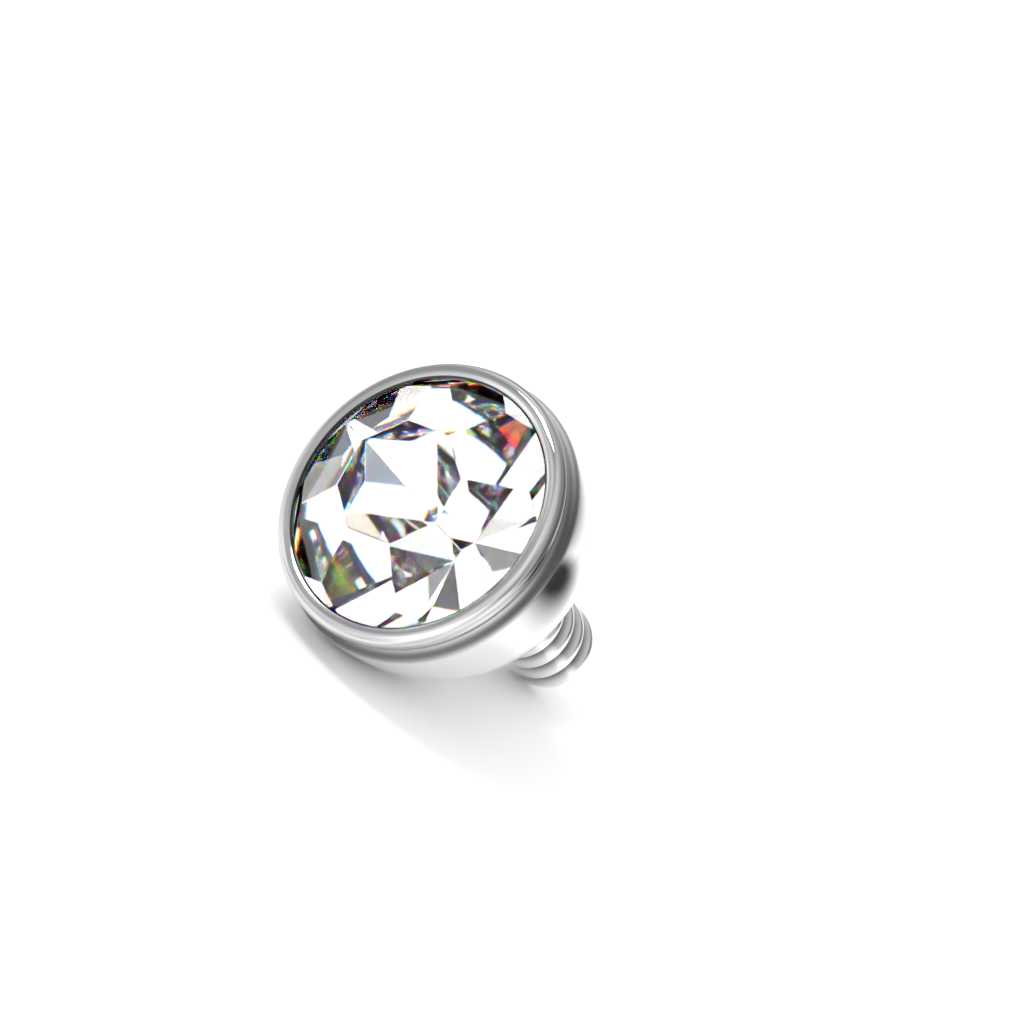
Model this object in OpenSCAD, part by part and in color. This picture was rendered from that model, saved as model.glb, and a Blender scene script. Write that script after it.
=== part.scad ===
// Gem top for a 1.6 mm barbell: a clear faceted stone set in a ball-shaped metal cup
// with a threaded post. Lengths are in millimetres and angles in degrees.
// Each piece is shaped upright, with its axis on Z and z = 0 at the inner edge of the rim.
// The whole is then laid on its side: the ball and the tip of the post touch z = 0.

/* [Ball and rim] */
// Diameter of the ball at its widest
ball_d = 4.8; // [4.78:0.01:4.86]
// Length of the ball below its widest part, to its pole
ball_drop = 2.75; // [2.7:0.01:2.85]
// Depth of the ball's widest part below the edge of the rim
ball_depth = 0.53; // [0.5:0.01:0.6]
// Radius of the ball's side, seen from the side
side_r = 3; // [2.95:0.01:3.1]
// Radius of the ball's upper shoulder
shoulder_r = 0.12; // [0.1:0.01:0.16]
// Diameter of the rim at its widest
rim_d = 4.684; // [4.66:0.002:4.7]
// Radius of the rounded rim, seen in section
rim_round = 0.173; // [0.165:0.001:0.18]
// Depth of the widest part of the rim below its edge
rim_depth = 0.133; // [0.12:0.001:0.15]
// Radius of the smooth groove between rim and ball
groove_r = 0.15; // [0.12:0.01:0.2]

/* [Setting] */
// Width of the opening that shows the stone
opening_d = 4.116; // [4.1:0.002:4.13]
// Thickness of the lip that is pressed over the stone
lip_t = 0.07; // [0.05:0.005:0.08]
// Gap between the stone and the metal
stone_gap = 0.02; // [0.01:0.005:0.03]
// Radius inside which the seat is drilled away
drill_r = 1.6; // [1.4:0.05:1.7]
// Slope of the bottom of the drilled hole
drill_slope = 31; // [28:1:34]

/* [Stone] */
// Diameter of the stone
stone_d = 4.16; // [4.15:0.005:4.18]
// Height of the table above the edge of the rim
table_h = 0.71; // [0.65:0.01:0.75]
// Width of the table across its corners
table_d = 2.03; // [1.9:0.01:2.1]
// Slope of the eight main crown facets
crown_angle = 36.4; // [35.5:0.1:37]
// Distance from the axis at which the girdle facets begin
break_r = 1.865; // [1.84:0.005:1.88]
// Slope of the eight girdle facets
break_angle = 58; // [56:0.5:59]
// Depth of the lower edge of the girdle below the edge of the rim
girdle_depth = 0.26; // [0.25:0.005:0.28]
// Slope of the eight back facets
back_angle = 36.8; // [36:0.1:38]
// Turn of the back facets against the front ones
back_turn = -1; // [-2:0.5:2]

/* [Threaded post] */
// Diameter over the thread
post_d = 1.4; // [1.36:0.01:1.44]
// Depth of the tip of the post below the edge of the rim
post_depth = 5.48; // [5.2:0.01:5.7]
// Width of the flat shoulder that a barbell closes against
seat_d = 1.6; // [1.58:0.01:1.62]
// Bevel at the tip
tip_bevel = 0.11; // [0.08:0.01:0.13]
// Distance between turns of the thread
pitch = 0.39; // [0.38:0.005:0.4]
// Width of the flat crest of the thread
crest_w = 0.1; // [0.09:0.005:0.11]
// Depth of the thread
thread_depth = 0.18; // [0.16:0.005:0.19]
// Angle between the flanks of the thread
flank_angle = 60; // [58:1:62]
// Turn of the thread about the axis
thread_turn = 195; // [0:5:355]

/* [Hidden] */
sides = 8;
half_side = 180 / sides;
smooth = 96;
arc_step = 5;

// ball, seen in section: an arc for the side and a rounder arc for the bottom
ball_r = ball_d / 2;
bottom_r = (2 * side_r * ball_r - pow(ball_r, 2) - pow(ball_drop, 2)) / (2 * (side_r - ball_drop));
bottom_at = [0, bottom_r - ball_depth - ball_drop];
bottom_turn = atan2(ball_drop - bottom_r, side_r - ball_r);
side_at = [ball_r - side_r, -ball_depth];

// rim, shoulder and the groove that touches both
rim_at = [rim_d / 2 - rim_round, -rim_depth];
shoulder_at = [ball_r - shoulder_r, -ball_depth];
apart = norm(shoulder_at - rim_at);
down = (shoulder_at - rim_at) / apart;
out = [-down.y, down.x];
to_rim = rim_round + groove_r;
to_shoulder = shoulder_r + groove_r;
groove_run = (pow(to_rim, 2) - pow(to_shoulder, 2) + pow(apart, 2)) / (2 * apart);
groove_at = rim_at + down * groove_run + out * sqrt(pow(to_rim, 2) - pow(groove_run, 2));

// stone
stone_r = stone_d / 2;
table_edge = table_d / 2 * cos(half_side);
break_h = table_h - (break_r * cos(half_side) - table_edge) * tan(crown_angle);
culet_z = -girdle_depth - stone_r * tan(back_angle);
ridge_slope = tan(back_angle) * cos(half_side);

// hollow for the stone: its seat follows the ridges of the back
opening_r = opening_d / 2;
hollow_r = stone_r + stone_gap;
seat_top = culet_z - 1.5 * stone_gap + hollow_r * ridge_slope;
seat_foot = culet_z - 1.5 * stone_gap + drill_r * ridge_slope;
drill_depth = culet_z - 6 * stone_gap;

// post
post_r = post_d / 2;
seat_turn = acos(seat_d / 2 / bottom_r);
seat_z = bottom_at.y - bottom_r * sin(seat_turn);
tip_edge = [post_r, tip_bevel - post_depth];

// groove of the thread, cut from just outside the post
root_r = post_r - thread_depth;
root_half = (pitch - crest_w) / 2 - thread_depth * tan(flank_angle / 2);
cut_r = post_r + 0.06;
cut_half = root_half + (cut_r - root_r) * tan(flank_angle / 2);
start_r = post_r + 0.03;
thread_top = seat_z - cut_half - 0.03;
turns = (thread_top + post_depth) / pitch + 1;
fade_in = 0.25;
steps = 16;

// lying on its side: the line that touches the side of the ball and the bevel of the tip
lean = tip_edge - side_at;
rest_angle = asin(side_r / norm(lean)) - atan2(lean.x, -lean.y);
lowest = tip_edge.x * cos(rest_angle) - tip_edge.y * sin(rest_angle);
front = table_d / 2 * sin(rest_angle) + table_h * cos(rest_angle);
back = (post_r - tip_bevel) * sin(rest_angle) + post_depth * cos(rest_angle);

module at_rest() {
    translate([0, (front - back) / 2, lowest])
        rotate([90 - rest_angle, 0, 0])
            children();
}

// direction from one point of the section to another
function toward(a, b) = atan2(b.y - a.y, b.x - a.x);

// points of an arc between two directions, without its first one
function arc(at, radius, from, to) = let (count = ceil(abs(to - from) / arc_step))
    [for (i = [1:count]) let (turn = from + (to - from) * i / count)
        at + radius * [cos(turn), sin(turn)]];

// metal on one side of the axis: rim, groove, shoulder, ball, post, then the hollow
function section() = concat(
    [[opening_r, -lip_t], [opening_r, rim_at.y + sqrt(pow(rim_round, 2) - pow(opening_r - rim_at.x, 2))]],
    arc(rim_at, rim_round, acos((opening_r - rim_at.x) / rim_round), toward(rim_at, groove_at)),
    arc(groove_at, groove_r, toward(groove_at, rim_at), 360 + toward(groove_at, shoulder_at)),
    arc(shoulder_at, shoulder_r, toward(shoulder_at, groove_at), 0),
    arc(side_at, side_r, 0, -bottom_turn),
    arc(bottom_at, bottom_r, -bottom_turn, -seat_turn),
    [[post_r, seat_z], tip_edge, [post_r - tip_bevel, -post_depth], [0, -post_depth]],
    [[0, drill_depth], [drill_r, drill_depth + drill_r * tan(drill_slope)]],
    [[drill_r, seat_foot], [hollow_r, seat_top], [hollow_r, -lip_t]]
);

// one station of the groove between two turns of the thread; the first ones sink into the post
function station(i) = let (
    turned = i / steps,
    floor_r = root_r + (start_r - root_r) * max(0, 1 - turned / fade_in),
    floor_half = root_half + (floor_r - root_r) * tan(flank_angle / 2),
    z = thread_top - turned * pitch,
    direction = thread_turn - 360 * turned,
    corners = [[cut_r, cut_half], [floor_r, floor_half], [floor_r, -floor_half], [cut_r, -cut_half]]
) [for (c = corners) [c.x * cos(direction), c.x * sin(direction), z + c.y]];

module thread_groove() {
    last = ceil(turns * steps);
    points = [for (i = [0:last]) each station(i)];
    walls = [for (i = [0:last - 1], k = [0:3]) let (n = (k + 1) % 4)
        each [[4 * i + k, 4 * i + 4 + n, 4 * i + n], [4 * i + k, 4 * i + 4 + k, 4 * i + 4 + n]]];
    ends = [[0, 1, 2, 3], [4 * last + 3, 4 * last + 2, 4 * last + 1, 4 * last]];
    polyhedron(points, concat(walls, ends));
}

module bezel_setting() {
    color("silver")
        at_rest()
            difference() {
                rotate_extrude($fn = smooth)
                    polygon(section());
                thread_groove();
            }
}

// eight-sided pyramid, or part of one, given by the distance of its sides from the axis at two heights
module eight_sides(low, high, low_edge, high_edge, turn = 0) {
    corner = 1 / cos(half_side);
    translate([0, 0, low])
        rotate(turn)
            cylinder(h = high - low, r1 = low_edge * corner, r2 = high_edge * corner, $fn = sides);
}

// how far a facet moves out over the whole height of the stone
function run(angle) = (table_h - culet_z) / tan(angle);

module gem_stone() {
    break_edge = break_r - (table_h - break_h) / tan(break_angle);
    color("white")
        at_rest()
            intersection() {
                translate([0, 0, culet_z])
                    cylinder(h = table_h - culet_z, r = stone_r, $fn = smooth);
                eight_sides(culet_z, table_h, table_edge + run(crown_angle), table_edge);
                eight_sides(culet_z, table_h, break_edge + run(break_angle), break_edge, half_side);
                eight_sides(culet_z, table_h, 0, run(back_angle), back_turn);
            }
}

bezel_setting();
gem_stone();
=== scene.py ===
import math
import bpy
import bmesh
from mathutils import Matrix, Vector


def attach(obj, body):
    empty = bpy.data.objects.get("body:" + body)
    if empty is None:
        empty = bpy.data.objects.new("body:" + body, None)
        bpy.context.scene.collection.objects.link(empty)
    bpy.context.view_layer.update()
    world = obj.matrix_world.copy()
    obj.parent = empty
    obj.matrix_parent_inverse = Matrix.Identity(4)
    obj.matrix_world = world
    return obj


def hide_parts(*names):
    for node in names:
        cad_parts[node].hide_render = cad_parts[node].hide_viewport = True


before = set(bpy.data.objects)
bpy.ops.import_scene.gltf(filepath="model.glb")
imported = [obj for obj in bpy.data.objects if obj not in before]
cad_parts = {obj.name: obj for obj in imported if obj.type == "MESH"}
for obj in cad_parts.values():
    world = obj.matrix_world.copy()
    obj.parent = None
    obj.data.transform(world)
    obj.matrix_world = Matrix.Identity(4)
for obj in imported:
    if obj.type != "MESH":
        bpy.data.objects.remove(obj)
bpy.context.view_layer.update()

mm = 0.001
scene = bpy.context.scene

# the sizes that settle how the gem top lies on the floor, in mm, measured from the rim's inner edge
lying = {
    "ball": 4.8, "ballDepth": 0.53, "sideRadius": 3.0,  # the side of the ball touches the floor
    "postWidth": 1.4, "postDepth": 5.48, "bevel": 0.11,  # and so does the edge of the post's tip
    "table": 2.03, "tableHeight": 0.71,  # the stone's table is the other end
}


def sin(angle):
    return math.sin(math.radians(angle))


def cos(angle):
    return math.cos(math.radians(angle))


def tan(angle):
    return math.tan(math.radians(angle))


def layDown():
    # turns the gem top on its side, as part.scad does, and centres it over the floor
    side, postRadius = lying["sideRadius"], lying["postWidth"] / 2
    tip = Vector((postRadius, lying["bevel"] - lying["postDepth"]))
    lean = tip - Vector((lying["ball"] / 2 - side, -lying["ballDepth"]))
    dip = math.degrees(math.asin(side / lean.length) - math.atan2(lean.x, -lean.y))
    front = lying["table"] / 2 * sin(dip) + lying["tableHeight"] * cos(dip)
    back = (postRadius - lying["bevel"]) * sin(dip) + lying["postDepth"] * cos(dip)
    return dip, Vector((0, (front - back) / 2, tip.x * cos(dip) - tip.y * sin(dip)))


restAngle, rimCentre = layDown()
toFloor = Matrix.Translation(rimCentre) @ Matrix.Rotation(math.radians(90 - restAngle), 4, "X")


# camera and stage

photoView = {
    "azimuth": 36.9,
    "elevation": 17.7,
    "axisOnImage": 47.7,  # the gem's axis runs this far below the image's right
    "lens": 200,
    "sensor": 36,
    "frame": 1024,
    "rimCentreAt": (417.5, 501.5),
    "pixelsPerMm": 67.04,
}

studio = {
    "floorSize": 2.4,
    "floorColor": (0.94, 0.94, 0.94, 1),
    "skyLevel": 1.25,
    "horizonTo": 0.25,
    # cards hung round the set in even rings: how many, the first one's azimuth, and their elevation,
    # radius, soft edge and brightness
    "metalSky": 0.62,
    "metalCards": (
        # a window in front, a dark wall behind, a lamp on the left
        {"count": 1, "azimuth": 0, "elevation": 10, "radius": 30, "soft": 15, "level": 1.5},
        {"count": 1, "azimuth": 140, "elevation": 40, "radius": 40, "soft": 20, "level": 0.4},
        {"count": 1, "azimuth": -90, "elevation": 50, "radius": 15, "soft": 10, "level": 1.5},
    ),
    "stoneSky": 1.3,
    "stoneCards": (
        {"count": 6, "azimuth": 0, "elevation": 25, "radius": 14, "soft": 4, "level": 0.3},
        {"count": 5, "azimuth": -90, "elevation": 60, "radius": 11, "soft": 4, "level": 0.1},
    ),
    # a dark disc behind the object, which only mirrors see, in mm
    "disc": {"middle": (4.8, 4.2, 3.1), "facing": (0.39, 0.33, -0.86), "radius": 3.2},
    "softboxSize": 0.09,
    "softboxPower": 0.25,
    "softboxFrom": (-0.12, -0.10, 0.22),
}


class Wire:
    # a socket that takes part in Python expressions
    def __init__(self, made, socket):
        self.made, self.socket = made, socket

    def _math(self, operation, *values):
        return self.made.add("ShaderNodeMath", {"operation": operation}, *values)

    def __add__(self, other):
        return self._math("ADD", self, other)

    def __sub__(self, other):
        return self._math("SUBTRACT", self, other)

    def __mul__(self, other):
        return self._math("MULTIPLY", self, other)

    def __truediv__(self, other):
        return self._math("DIVIDE", self, other)

    def __rsub__(self, other):
        return self._math("SUBTRACT", other, self)

    __radd__ = __add__
    __rmul__ = __mul__

    def over(self, low, high):
        # 0 below low, 1 above high, smooth between
        settings = {"interpolation_type": "SMOOTHSTEP"}
        return self.made.add("ShaderNodeMapRange", settings, self, low, high, 0.0, 1.0)


class NodeMaker:
    def __init__(self, tree):
        self.tree = tree
        tree.nodes.clear()

    def add(self, kind, settings=None, *values, output=0, **named):
        node = self.tree.nodes.new(kind)
        for name, value in (settings or {}).items():
            setattr(node, name, value)
        numbered = values[0] if values and isinstance(values[0], dict) else dict(enumerate(values))
        inputs = list(numbered.items()) + list(named.items())
        for key, value in inputs:
            socket = node.inputs[key if isinstance(key, int) else key.replace("_", " ")]
            if isinstance(value, Wire):
                self.tree.links.new(value.socket, socket)
            elif value is not None:
                socket.default_value = value
        return Wire(self, node.outputs[output]) if node.outputs else node


def makeCamera():
    azimuth, elevation = photoView["azimuth"], photoView["elevation"]
    back = Vector((sin(azimuth) * cos(elevation), -cos(azimuth) * cos(elevation), sin(elevation)))
    gemAxis = (toFloor.to_3x3() @ Vector((0, 0, 1))).normalized()
    towardPost = -(gemAxis - gemAxis.dot(back) * back).normalized()  # as it looks on the image
    across = back.cross(towardPost)
    turn = photoView["axisOnImage"]
    right = cos(turn) * towardPost + sin(turn) * across
    up = -sin(turn) * towardPost + cos(turn) * across
    distance = photoView["lens"] * photoView["frame"] / (photoView["sensor"] * photoView["pixelsPerMm"])
    x, y = (place - photoView["frame"] / 2 for place in photoView["rimCentreAt"])
    middle = rimCentre - (x * right - y * up) / photoView["pixelsPerMm"]
    data = bpy.data.cameras.new("photoCamera")
    data.lens, data.sensor_width = photoView["lens"], photoView["sensor"]
    data.clip_start, data.clip_end = 0.001, 10
    camera = bpy.data.objects.new("photoCamera", data)
    scene.collection.objects.link(camera)
    placed = Matrix((right, up, back)).transposed().to_4x4()
    placed.translation = (middle + distance * back) * mm
    camera.matrix_world = placed
    scene.camera = camera


def makeFloor():
    mesh = bpy.data.meshes.new("floor")
    bm = bmesh.new()
    bmesh.ops.create_grid(bm, x_segments=1, y_segments=1, size=studio["floorSize"] / 2)
    bm.to_mesh(mesh)
    bm.free()
    floor = bpy.data.objects.new("floor", mesh)
    scene.collection.objects.link(floor)
    material = bpy.data.materials.new("paleFloor")
    material.use_nodes = True
    made = NodeMaker(material.node_tree)
    surface = made.add("ShaderNodeBsdfPrincipled", None, Base_Color=studio["floorColor"], Roughness=0.6)
    made.add("ShaderNodeOutputMaterial", None, Surface=surface)
    mesh.materials.append(material)


def makeDisc():
    radius = studio["disc"]["radius"]
    mesh = bpy.data.meshes.new("disc")
    bm = bmesh.new()
    bmesh.ops.create_circle(bm, cap_ends=True, segments=48, radius=radius * 1.6 * mm)
    bm.to_mesh(mesh)
    bm.free()
    disc = bpy.data.objects.new("disc", mesh)
    scene.collection.objects.link(disc)
    disc.location = Vector(studio["disc"]["middle"]) * mm
    disc.rotation_mode = "QUATERNION"
    disc.rotation_quaternion = Vector(studio["disc"]["facing"]).to_track_quat("Z", "Y")
    for sight in ("camera", "diffuse", "shadow", "transmission"):
        setattr(disc, "visible_" + sight, False)
    material = bpy.data.materials.new("darkDisc")
    material.use_nodes = True
    made = NodeMaker(material.node_tree)
    place = made.add("ShaderNodeTexCoord", output=3)
    fromMiddle = made.add("ShaderNodeVectorMath", {"operation": "LENGTH"}, place, output=1)
    shade = 1 - fromMiddle.over(radius * 0.4 * mm, radius * 1.5 * mm)
    surface = made.add("ShaderNodeBsdfPrincipled", None, Base_Color=(0.01, 0.01, 0.01, 1), Roughness=0.8,
                       Alpha=shade)
    made.add("ShaderNodeOutputMaterial", None, Surface=surface)
    mesh.materials.append(material)


def makeLights():
    world = bpy.data.worlds.new("studio")
    scene.world = world
    world.use_nodes = True
    made = NodeMaker(world.node_tree)
    direction = made.add("ShaderNodeTexCoord")

    def shaded(light, rings):
        for ring in rings:
            radius, soft, height = ring["radius"], ring["soft"], ring["elevation"]
            for k in range(ring["count"]):
                azimuth = ring["azimuth"] + 360 * k / ring["count"]
                toCard = (sin(azimuth) * cos(height), -cos(azimuth) * cos(height), sin(height))
                near = made.add("ShaderNodeVectorMath", {"operation": "DOT_PRODUCT"}, direction, toCard,
                                output=1)
                card = near.over(cos(radius + soft), cos(radius - soft))
                light = light * (1 - (1 - ring["level"]) * card)
        return light

    # the floor is lit evenly; what the metal mirrors and what the stone gathers is shaded apart
    glossy, through = (made.add("ShaderNodeLightPath", output=k) for k in (3, 6))
    height = made.add("ShaderNodeSeparateXYZ", None, direction, output=2)
    low = 1 - height.over(0.0, studio["horizonTo"])
    mirrored = shaded(studio["metalSky"], studio["metalCards"])
    inMetal = glossy * (mirrored + low * (studio["skyLevel"] - mirrored)) + (1 - glossy) * studio["skyLevel"]
    light = through * shaded(studio["stoneSky"], studio["stoneCards"]) + (1 - through) * inMetal
    sky = made.add("ShaderNodeBackground", None, (1, 1, 1, 1), light)
    made.add("ShaderNodeOutputWorld", None, Surface=sky)
    data = bpy.data.lights.new("softbox", "AREA")
    data.size = studio["softboxSize"]
    data.energy = studio["softboxPower"]
    softbox = bpy.data.objects.new("softbox", data)
    scene.collection.objects.link(softbox)
    place = Vector(studio["softboxFrom"])
    softbox.location = place
    softbox.rotation_mode = "QUATERNION"
    softbox.rotation_quaternion = place.to_track_quat("Z", "Y")


makeCamera()
makeFloor()
makeDisc()
makeLights()
scene.view_settings.view_transform = "Standard"
scene.cycles.max_bounces = 16  # light is mirrored many times inside the stone
scene.cycles.glossy_bounces = 14
scene.cycles.transmission_bounces = 14
print("stage ready")


# materials


def polishedSteel():
    finish = {
        "color": (0.84, 0.84, 0.85, 1),
        "shadedRimColor": (0.45, 0.45, 0.46, 1),  # painted shade: the rim's steel is darker than the ball's, so its reflections come out grey
        "creaseShadeColor": (0.07, 0.07, 0.075, 1),  # painted shade in the crease between rim and ball
        "grooveDepth": 0.43, "grooveHalf": 0.16,  # in mm, below the rim's inner edge
        "grooveShade": 0.9, "grooveLeast": 0.3,  # how deep the painted shade is: the most on one side, the least on the other
        "dullFrom": 0.1, "dullTo": 0.6, "dullRoughness": 0.3,
        "rootShadeColor": (0.08, 0.08, 0.085, 1),  # painted shade between the turns of the thread
        # the lip's dark colour on the next line is painted shade on its edge
        "lipShadeColor": (0.05, 0.05, 0.05, 1), "lipRadius": 2.08,
        "roughness": 0.05, "markRoughness": 0.1,
        # the last value on the next line sets how strong the painted highlights on the rim are
        "marksPerMm": 9, "markDepth": 2e-6, "markStrength": 0.3, "streakHighlights": 0.8,
    }
    material = bpy.data.materials.new("polishedSteel")
    material.use_nodes = True
    made = NodeMaker(material.node_tree)

    def mixed(factor, first, second):
        return made.add("ShaderNodeMix", {"data_type": "RGBA"}, {0: factor, 6: first, 7: second}, output=2)

    # x and y across the gem's axis, z along it from the rim's inner edge, in mm
    place = made.add("ShaderNodeTexCoord", output=3)
    turned = made.add("ShaderNodeMapping", {"vector_type": "TEXTURE"}, place,
                      rimCentre * mm, (math.radians(90 - restAngle), 0, 0), (mm, mm, mm))
    x, y, z = (made.add("ShaderNodeSeparateXYZ", None, turned, output=k) for k in range(3))
    fromAxis = made.add("ShaderNodeMath", {"operation": "SQRT"}, x * x + y * y)
    # fine marks of the lathe: they run round the axis and fade along their way
    along = made.add("ShaderNodeCombineXYZ", None, x * 0.3, y * 0.3, (fromAxis - z) * finish["marksPerMm"])
    marks = made.add("ShaderNodeTexNoise", {"noise_dimensions": "3D"}, along, Scale=1.0, Detail=4.0)
    normal = made.add("ShaderNodeBump", None, Strength=finish["markStrength"], Distance=finish["markDepth"],
                      Height=marks)
    rim = z.over(-0.36, -0.24)
    # painted shade: darker steel on the rim
    color = mixed(rim, finish["color"], finish["shadedRimColor"])
    # painted highlights: white streaks along the lathe marks on the rim
    color = mixed(rim * marks.over(0.42, 0.68) * finish["streakHighlights"], color, (1, 1, 1, 1))
    # painted shade in the roots of the thread
    root = z.over(-5.47, -5.4) * (1 - z.over(-3.2, -3.1)) * (1 - fromAxis.over(0.55, 0.69))
    color = mixed(root * 0.9, color, finish["rootShadeColor"])
    # painted shade: a dark ring on the lip's inner edge, where the cup meets the stone
    lip = (1 - fromAxis.over(finish["lipRadius"], finish["lipRadius"] + 0.015)) * z.over(-0.1, -0.08)
    color = mixed(lip, color, finish["lipShadeColor"])
    # painted shade in the groove between rim and ball, which is also left rougher
    offGroove = made.add("ShaderNodeMath", {"operation": "ABSOLUTE"}, z + finish["grooveDepth"])
    outside = fromAxis.over(2.15, 2.3)
    groove = outside * (1 - offGroove.over(0.0, finish["grooveHalf"]))
    side = ((x * 0.87 - y * 0.5) / fromAxis).over(-0.3, 0.5)
    deep = finish["grooveLeast"] + (finish["grooveShade"] - finish["grooveLeast"]) * side
    color = mixed(groove * deep, color, finish["creaseShadeColor"])
    dull = outside * z.over(-finish["dullTo"], -0.43) * (1 - z.over(-0.2, -finish["dullFrom"]))
    marked = marks.over(0.45, 0.7) * finish["markRoughness"]
    rough = finish["roughness"] + marked + dull * finish["dullRoughness"]
    surface = made.add("ShaderNodeBsdfPrincipled", None, Base_Color=color, Metallic=1.0, Roughness=rough,
                       Normal=normal)
    made.add("ShaderNodeOutputMaterial", None, Surface=surface)
    return material


def clearCrystal():
    bends = {"red": 1.511, "green": 1.52, "blue": 1.532}
    material = bpy.data.materials.new("clearCrystal")
    material.use_nodes = True
    made = NodeMaker(material.node_tree)
    colors = {"red": (1, 0, 0, 1), "green": (0, 1, 0, 1), "blue": (0, 0, 1, 1)}
    glass = [made.add("ShaderNodeBsdfGlass", None, Color=colors[name], Roughness=0.0, IOR=bends[name])
             for name in bends]
    two = made.add("ShaderNodeAddShader", None, glass[0], glass[1])
    surface = made.add("ShaderNodeAddShader", None, two, glass[2])
    made.add("ShaderNodeOutputMaterial", None, Surface=surface)
    return material


def silverFoil():
    material = bpy.data.materials.new("silverFoil")
    material.use_nodes = True
    made = NodeMaker(material.node_tree)
    surface = made.add("ShaderNodeBsdfPrincipled", None, Base_Color=(0.95, 0.95, 0.95, 1),
                       Metallic=1.0, Roughness=0.0)
    made.add("ShaderNodeOutputMaterial", None, Surface=surface)
    return material


# pieces


def finished(bm, name, materials, node, sharpAbove):
    # lays the piece on the floor beside the others and hands it to the frame
    bmesh.ops.transform(bm, matrix=Matrix.Scale(mm, 4) @ toFloor, verts=bm.verts)
    mesh = bpy.data.meshes.new(name)
    bm.to_mesh(mesh)
    bm.free()
    for material in materials:
        mesh.materials.append(material)
    if sharpAbove:
        mesh.shade_smooth()
        mesh.set_sharp_from_angle(angle=math.radians(sharpAbove))
    piece = bpy.data.objects.new(name, mesh)
    scene.collection.objects.link(piece)
    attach(piece, "root")
    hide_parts(node)
    print(name, len(mesh.vertices), "points", sum(len(f.vertices) - 2 for f in mesh.polygons), "triangles")
    return piece


class Outline:
    # a section drawn with a pen in the XZ plane: x is the distance from the axis
    def __init__(self, x, z):
        self.bm = bmesh.new()
        self.pen = self.bm.verts.new((x, 0, z))

    def line(self, x, z):
        made = bmesh.ops.extrude_vert_indiv(self.bm, verts=[self.pen])
        self.pen = made["verts"][0]
        self.pen.co = (x, 0, z)

    def arc(self, centre, to, steps, turns=0):
        # swings the pen round a centre until it points at another point
        x, z = centre
        start = math.atan2(self.pen.co.z - z, self.pen.co.x - x)
        end = math.atan2(to[1] - z, to[0] - x) + turns * 2 * math.pi
        made = bmesh.ops.spin(self.bm, geom=[self.pen], cent=(x, 0, z), axis=(0, -1, 0),
                              angle=end - start, steps=steps)
        self.pen = next(v for v in made["geom_last"] if isinstance(v, bmesh.types.BMVert))


# the stone's sizes, which the hollow of the cup follows
stone = {
    "width": 4.16, "table": lying["table"], "tableHeight": lying["tableHeight"], "crownAngle": 36.4,
    "breakRadius": 1.865, "breakAngle": 58, "girdleDepth": 0.26, "backAngle": 36.8,
    "backTurn": -1, "roundSteps": 192, "edgeRound": 0.008,
}


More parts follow.
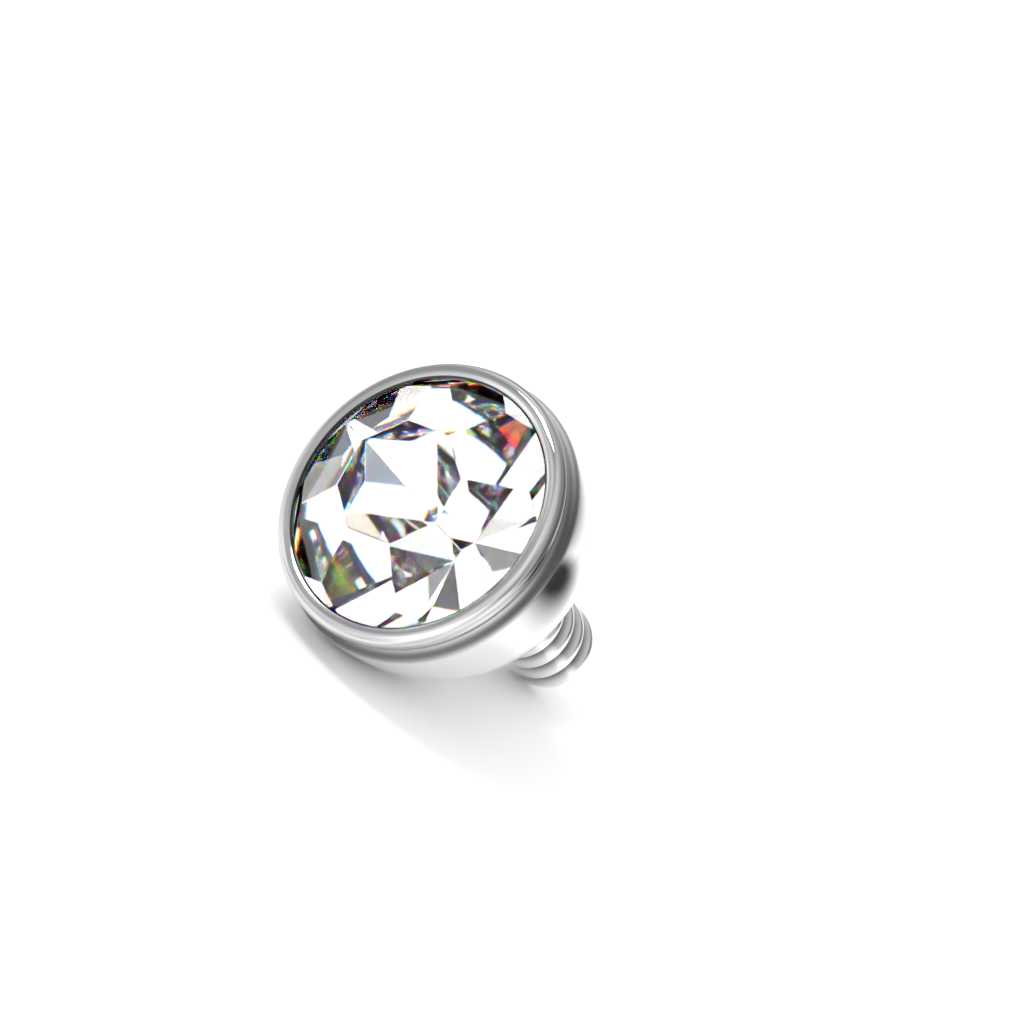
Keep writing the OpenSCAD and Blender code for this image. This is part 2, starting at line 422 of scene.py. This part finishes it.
def makeSetting():
    cup = {
        "ball": lying["ball"], "ballDrop": 2.75, "ballDepth": lying["ballDepth"],
        "sideRadius": lying["sideRadius"], "shoulder": 0.12,
        "rim": 4.684, "rimRound": 0.173, "rimDepth": 0.133, "groove": 0.15,
        "opening": 4.116, "lip": 0.07, "stoneGap": 0.02, "drill": 3.2, "drillSlope": 31,
        "seat": 1.6, "roundSteps": 192,
    }
    post = {
        "width": lying["postWidth"], "depth": lying["postDepth"], "bevel": lying["bevel"],
        "pitch": 0.39, "crest": 0.1,
        "crestAt": -4.91,  # a crest's middle on the side that faces the camera
        "threadDepth": 0.18, "flank": 30, "edgeRound": 0.012, "stepsPerTurn": 96, "fade": 0.2,
    }
    ball = cup["ball"] / 2
    side, drop = cup["sideRadius"], cup["ballDrop"]
    bottom = (2 * side * ball - ball ** 2 - drop ** 2) / (2 * (side - drop))
    bottomAt = (0, bottom - cup["ballDepth"] - drop)
    sideAt = (ball - side, -cup["ballDepth"])
    meeting = math.atan2(drop - bottom, side - ball)
    rimAt = Vector((cup["rim"] / 2 - cup["rimRound"], -cup["rimDepth"]))
    shoulderAt = Vector((ball - cup["shoulder"], -cup["ballDepth"]))
    toRim, toShoulder = cup["rimRound"] + cup["groove"], cup["shoulder"] + cup["groove"]
    apart = (shoulderAt - rimAt).length
    down = (shoulderAt - rimAt) / apart
    run = (toRim ** 2 - toShoulder ** 2 + apart ** 2) / (2 * apart)
    grooveAt = rimAt + down * run + Vector((-down.y, down.x)) * math.sqrt(toRim ** 2 - run ** 2)
    opening = cup["opening"] / 2
    seatZ = bottomAt[1] - math.sqrt(bottom ** 2 - (cup["seat"] / 2) ** 2)

    # the seat follows the ridges of the stone's back, a little below them
    culet = stone["girdleDepth"] + stone["width"] / 2 * tan(stone["backAngle"])
    ridge = tan(stone["backAngle"]) * cos(22.5)
    under = -culet - 1.5 * cup["stoneGap"]
    hollow, drill = stone["width"] / 2 + cup["stoneGap"], cup["drill"] / 2
    holeEnd = -culet - 6 * cup["stoneGap"]
    pen = Outline(0, holeEnd)
    pen.line(drill, holeEnd + drill * tan(cup["drillSlope"]))
    pen.line(drill, under + drill * ridge)
    pen.line(hollow, under + hollow * ridge)
    pen.line(hollow, -cup["lip"])
    pen.line(opening, -cup["lip"])
    pen.line(opening, rimAt.y + math.sqrt(cup["rimRound"] ** 2 - (opening - rimAt.x) ** 2))
    pen.arc(rimAt, grooveAt, 24)
    pen.arc(grooveAt, shoulderAt, 14, turns=1)
    pen.arc(shoulderAt, (ball, -cup["ballDepth"]), 8)
    pen.arc(sideAt, (sideAt[0] + math.cos(meeting), sideAt[1] - math.sin(meeting)), 20)
    pen.arc(bottomAt, (cup["seat"] / 2, seatZ), 12)
    pen.line(post["width"] / 2, seatZ)
    bm = pen.bm
    bmesh.ops.spin(bm, geom=bm.verts[:] + bm.edges[:], cent=(0, 0, 0), axis=(0, 0, 1),
                   angle=math.tau, steps=cup["roundSteps"], use_merge=True)
    bmesh.ops.remove_doubles(bm, verts=bm.verts, dist=1e-5)

    # one turn of a section with many crests, which meets itself one pitch further down
    radius, tip = post["width"] / 2, -post["depth"]
    slope = tan(post["flank"])
    root = radius - post["threadDepth"]
    flankRun = post["threadDepth"] * slope
    rootRun = post["pitch"] - post["crest"] - 2 * flankRun
    turns = math.ceil((seatZ - tip) / post["pitch"]) + 3
    z = post["crestAt"] - post["crest"] / 2 + 5 * post["pitch"]
    pen = Outline(radius, z)
    for _ in range(turns):
        profile = ((root, flankRun), (root, rootRun), (radius, flankRun), (radius, post["crest"]))
        for distance, step in profile:
            z -= step
            pen.line(distance, z)
    rod = pen.bm
    steps = post["stepsPerTurn"]
    bmesh.ops.spin(rod, geom=rod.verts[:] + rod.edges[:], cent=(0, 0, 0), axis=(0, 0, 1),
                   dvec=(0, 0, post["pitch"] / steps), angle=math.tau, steps=steps)
    bmesh.ops.remove_doubles(rod, verts=rod.verts, dist=1e-4)
    bmesh.ops.recalc_face_normals(rod, faces=rod.faces)
    ridges = [e for e in rod.edges if len(e.link_faces) == 2 and e.calc_face_angle() > math.radians(25)]
    bmesh.ops.bevel(rod, geom=ridges, offset=post["edgeRound"], offset_type="OFFSET", affect="EDGES",
                    segments=2, profile=0.5, material=-1)
    tipEdge = tip + post["bevel"]
    for height in (seatZ - 0.03, tipEdge, tip):
        bmesh.ops.bisect_plane(rod, geom=rod.verts[:] + rod.edges[:] + rod.faces[:], dist=1e-6,
                               plane_co=(0, 0, height), plane_no=(0, 0, 1),
                               clear_outer=height > tipEdge, clear_inner=height == tip)
    for v in rod.verts:
        distance = math.hypot(v.co.x, v.co.y)
        fade = max(0, min(1, (v.co.z - seatZ + 0.03 + post["fade"]) / post["fade"]))
        wanted = distance + (radius - distance) * fade * fade * (3 - 2 * fade)
        wanted = min(wanted, radius - post["bevel"] + v.co.z - tip)
        v.co.x, v.co.y = v.co.x * wanted / distance, v.co.y * wanted / distance
    tipRing = [e for e in rod.edges if e.is_boundary and e.verts[0].co.z < tipEdge]
    bmesh.ops.edgeloop_fill(rod, edges=tipRing)
    spare = bpy.data.meshes.new("post")
    rod.to_mesh(spare)
    rod.free()
    bm.from_mesh(spare)
    bpy.data.meshes.remove(spare)
    rings = [e for e in bm.edges if e.is_boundary]
    bmesh.ops.bridge_loops(bm, edges=rings)
    bmesh.ops.recalc_face_normals(bm, faces=bm.faces)
    print("open edges left on the setting:", sum(e.is_boundary for e in bm.edges))
    return finished(bm, "bezelSetting", [polishedSteel()], "bezel_setting", 30)


def makeStone():
    half = stone["width"] / 2
    culet = -stone["girdleDepth"] - half * tan(stone["backAngle"])
    tableEdge = stone["table"] / 2 * cos(22.5)
    crownTan = tan(stone["crownAngle"])
    breakHeight = stone["tableHeight"] - (stone["breakRadius"] * cos(22.5) - tableEdge) * crownTan
    bm = bmesh.new()
    bmesh.ops.create_cone(bm, segments=stone["roundSteps"], radius1=half, radius2=half, depth=4,
                          cap_ends=True)

    def grind(facing, slope, through):
        # takes off all that lies outside a facet, and closes it flat
        normal = Vector((sin(slope) * cos(facing), sin(slope) * sin(facing), cos(slope)))
        at = Vector((through[0] * cos(facing), through[0] * sin(facing), through[1]))
        cut = bmesh.ops.bisect_plane(bm, geom=bm.verts[:] + bm.edges[:] + bm.faces[:], dist=1e-6,
                                     plane_co=at, plane_no=normal, clear_outer=True)
        edges = [e for e in cut["geom_cut"] if isinstance(e, bmesh.types.BMEdge)]
        bmesh.ops.edgeloop_fill(bm, edges=edges)

    grind(0, 0, (0, stone["tableHeight"]))
    for turn in range(8):
        grind(45 * turn + 22.5, stone["crownAngle"], (tableEdge, stone["tableHeight"]))
    for turn in range(8):
        grind(45 * turn, stone["breakAngle"], (stone["breakRadius"], breakHeight))
    for turn in range(8):
        grind(45 * turn + 22.5 + stone["backTurn"], 180 - stone["backAngle"], (0, culet))
    bmesh.ops.remove_doubles(bm, verts=bm.verts, dist=1e-4)
    bmesh.ops.recalc_face_normals(bm, faces=bm.faces)
    for face in bm.faces:
        face.material_index = 1 if face.normal.z < 0.3 else 0  # the foil covers the back and the hidden side
    # every edge of the front is a little rounded
    edges = [e for e in bm.edges if all(f.normal.z > 0.3 for f in e.link_faces)]
    bmesh.ops.bevel(bm, geom=edges, offset=stone["edgeRound"], offset_type="OFFSET", affect="EDGES",
                    segments=1, profile=0.5, material=-1)
    print("open edges left on the stone:", sum(not e.is_manifold for e in bm.edges))
    return finished(bm, "gemStone", [clearCrystal(), silverFoil()], "gem_stone", 4)


makeSetting()
makeStone()
